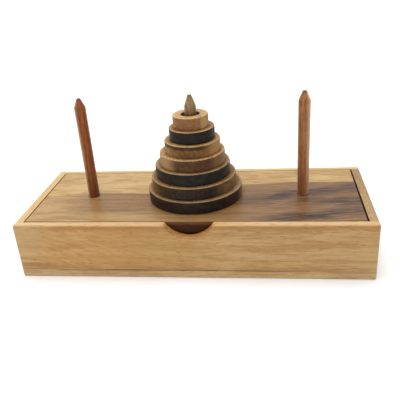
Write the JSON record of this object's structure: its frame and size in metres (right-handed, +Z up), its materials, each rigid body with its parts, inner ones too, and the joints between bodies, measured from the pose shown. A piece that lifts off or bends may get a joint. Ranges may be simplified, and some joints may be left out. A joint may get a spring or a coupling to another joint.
{
  "type": "tower of hanoi puzzle",
  "caption": "Peg-and-ring stacking puzzle in hardwood: graded rings on upright pegs that plug into the loose lid of a low storage box with a finger notch.",
  "frame": {"origin": "centre of the base panel's underside", "axes": "+X along the box to the right, +Y towards the back, +Z up; the finger notch faces -Y"},
  "size_m": [0.281, 0.11, 0.1325],
  "materials": {
    "box_wood": "satin lacquer, golden tan",
    "batten_wood": "bare, planed",
    "lid_wood": "satin lacquer, light sapwood to dark heartwood",
    "peg_red_wood": "satin, dark reddish brown",
    "peg_light_wood": "satin, light olive tan",
    "peg_tan_wood": "satin, reddish tan",
    "ring_1_wood": "satin, tan",
    "ring_2_wood": "satin, blue-black",
    "ring_3_wood": "satin, olive gold with a dark band",
    "ring_4_wood": "satin, medium brown",
    "ring_5_wood": "satin, blackish brown",
    "ring_6_wood": "satin, dark brown with olive patches",
    "ring_7_wood": "satin, near-black brown",
    "steel": "bright drawn wire"
  },
  "bodies": {
    "box": {"base_panel": "box_wood", "front_wall": "box_wood", "back_wall": "box_wood", "left_end_wall": "box_wood", "right_end_wall": "box_wood", "left_lid_batten": "batten_wood", "right_lid_batten": "batten_wood", "base_brads": "steel", "batten_brads": "steel"},
    "lid": {"lid_board": "lid_wood"},
    "left_peg": {"left_peg": "peg_red_wood"},
    "centre_peg": {"centre_peg": "peg_light_wood"},
    "right_peg": {"right_peg": "peg_tan_wood"},
    "ring_7": {"ring_7": "ring_7_wood"},
    "ring_6": {"ring_6": "ring_6_wood"},
    "ring_5": {"ring_5": "ring_5_wood"},
    "ring_4": {"ring_4": "ring_4_wood"},
    "ring_3": {"ring_3": "ring_3_wood"},
    "ring_2": {"ring_2": "ring_2_wood"},
    "ring_1": {"ring_1": "ring_1_wood"}
  },
  "joints": [
    {"name": "lid_lift", "type": "slide", "parent": "box", "child": "lid", "axis": [0, 0, 1], "range_m": [0, 0.06]},
    {"name": "left_peg_pull", "type": "slide", "parent": "lid", "child": "left_peg", "axis": [0, 0, 1], "range_m": [0, 0.03]},
    {"name": "centre_peg_pull", "type": "slide", "parent": "lid", "child": "centre_peg", "axis": [0, 0, 1], "range_m": [0, 0.08]},
    {"name": "right_peg_pull", "type": "slide", "parent": "lid", "child": "right_peg", "axis": [0, 0, 1], "range_m": [0, 0.03]},
    {"name": "ring_7_lift", "type": "slide", "parent": "lid", "child": "ring_7", "axis": [0, 0, 1], "range_m": [0, 0.09]},
    {"name": "ring_6_lift", "type": "slide", "parent": "ring_7", "child": "ring_6", "axis": [0, 0, 1], "range_m": [0, 0.08]},
    {"name": "ring_5_lift", "type": "slide", "parent": "ring_6", "child": "ring_5", "axis": [0, 0, 1], "range_m": [0, 0.07]},
    {"name": "ring_4_lift", "type": "slide", "parent": "ring_5", "child": "ring_4", "axis": [0, 0, 1], "range_m": [0, 0.06]},
    {"name": "ring_3_lift", "type": "slide", "parent": "ring_4", "child": "ring_3", "axis": [0, 0, 1], "range_m": [0, 0.05]},
    {"name": "ring_2_lift", "type": "slide", "parent": "ring_3", "child": "ring_2", "axis": [0, 0, 1], "range_m": [0, 0.04]},
    {"name": "ring_1_lift", "type": "slide", "parent": "ring_2", "child": "ring_1", "axis": [0, 0, 1], "range_m": [0, 0.03]}
  ]
}
